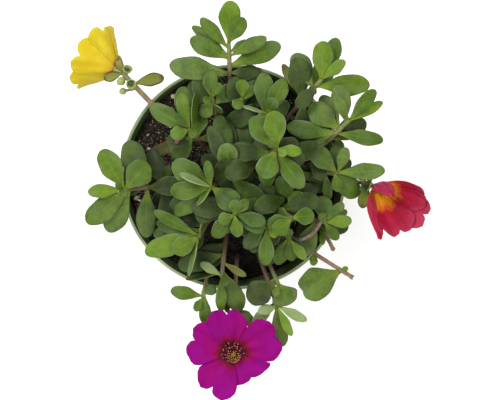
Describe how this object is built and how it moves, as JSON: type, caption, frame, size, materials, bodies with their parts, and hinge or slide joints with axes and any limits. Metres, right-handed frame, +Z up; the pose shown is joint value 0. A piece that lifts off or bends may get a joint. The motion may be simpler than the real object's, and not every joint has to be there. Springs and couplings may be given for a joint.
{
  "type": "potted purslane plant",
  "caption": "Succulent bedding plant with spoon-shaped leaves and open cup blooms, growing over the rim of a round tapered nursery pot filled with peat.",
  "frame": {"origin": "centre of the pot's underside", "axes": "+Z up along the pot's axis, +Y towards the back of the pot as seen upright from above, +X towards the right"},
  "size_m": [0.1849, 0.2068, 0.1422],
  "materials": {
    "pot": "satin moulded plastic",
    "soil": "loose peat with white perlite",
    "leaf": "fleshy, slightly waxy leaf",
    "petal_yellow": "thin satin petal",
    "petal_red": "thin satin petal",
    "petal_magenta": "thin satin petal",
    "pollen": "powdery",
    "seed": "smooth dark grain"
  },
  "bodies": {
    "root": {"pot": "pot", "soil": "soil", "leafy_stem_01": "leaf", "leafy_stem_02": "leaf", "leafy_stem_03": "leaf", "leafy_stem_04": "leaf", "leafy_stem_05": "leaf", "leafy_stem_06": "leaf", "leafy_stem_07": "leaf", "leafy_stem_08": "leaf", "leafy_stem_09": "leaf", "leafy_stem_10": "leaf", "leafy_stem_11": "leaf", "leafy_stem_12": "leaf", "leafy_stem_13": "leaf", "leafy_stem_14": "leaf", "leafy_stem_15": "leaf", "leafy_stem_16": "leaf", "leafy_stem_17": "leaf", "leafy_stem_18": "leaf", "leafy_stem_19": "leaf", "leafy_stem_20": "leaf", "leafy_stem_21": "leaf", "leafy_stem_22": "leaf", "leafy_stem_23": "leaf", "leafy_stem_24": "leaf", "leafy_stem_25": "leaf", "flower_stem_yellow": "leaf", "flower_stem_red": "leaf", "flower_stem_magenta": "leaf", "petals_yellow": "petal_yellow", "stamens_yellow": "pollen", "petals_red": "petal_red", "stamens_red": "pollen", "petals_magenta": "petal_magenta", "stamens_magenta": "pollen", "seeds_yellow_a": "seed", "seeds_yellow_b": "seed", "seeds_red": "seed"}
  },
  "joints": []
}
